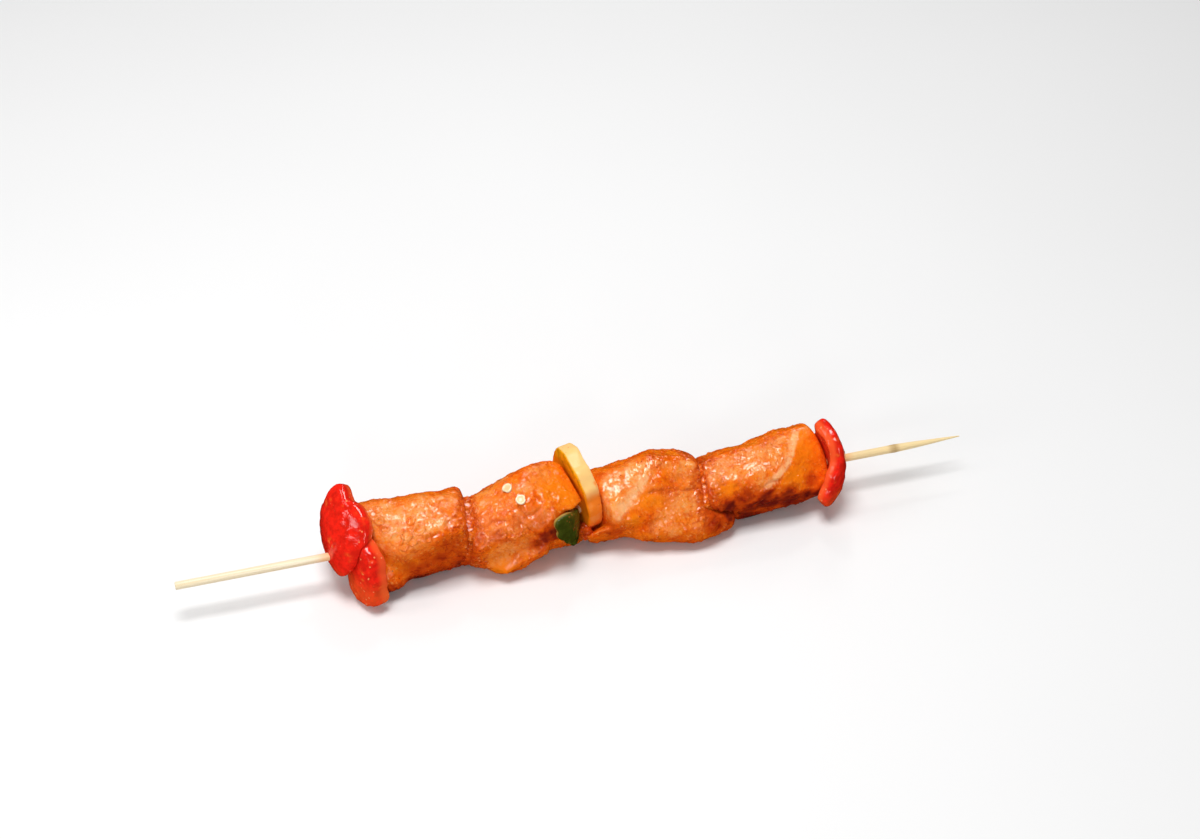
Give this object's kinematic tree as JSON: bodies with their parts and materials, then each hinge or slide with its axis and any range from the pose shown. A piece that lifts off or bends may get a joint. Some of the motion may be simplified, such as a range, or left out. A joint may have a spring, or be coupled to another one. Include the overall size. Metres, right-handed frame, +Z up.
{
  "type": "chicken kebab skewer",
  "caption": "Raw marinated chicken kebab: chunks of chicken with slices of red, green and yellow pepper, pushed close together on a pointed bamboo skewer.",
  "frame": {"origin": "middle of the bottom of the bounding box, on the table that the kebab lies on", "axes": "+X along the skewer towards its point, +Y to the back as pictured, +Z up"},
  "size_m": [0.3, 0.0422, 0.0379],
  "materials": {
    "bamboo": "dry, unvarnished",
    "marinated_chicken": "wet",
    "red_pepper": "wet",
    "green_pepper": "wet",
    "yellow_pepper": "wet"
  },
  "bodies": {
    "root": {"stick": "bamboo", "pepper_red_end": "red_pepper", "pepper_red_front": "red_pepper", "chicken_1": "marinated_chicken", "chicken_2": "marinated_chicken", "pepper_green": "green_pepper", "pepper_yellow": "yellow_pepper", "chicken_3": "marinated_chicken", "chicken_4": "marinated_chicken", "pepper_red_point": "red_pepper"}
  },
  "joints": []
}
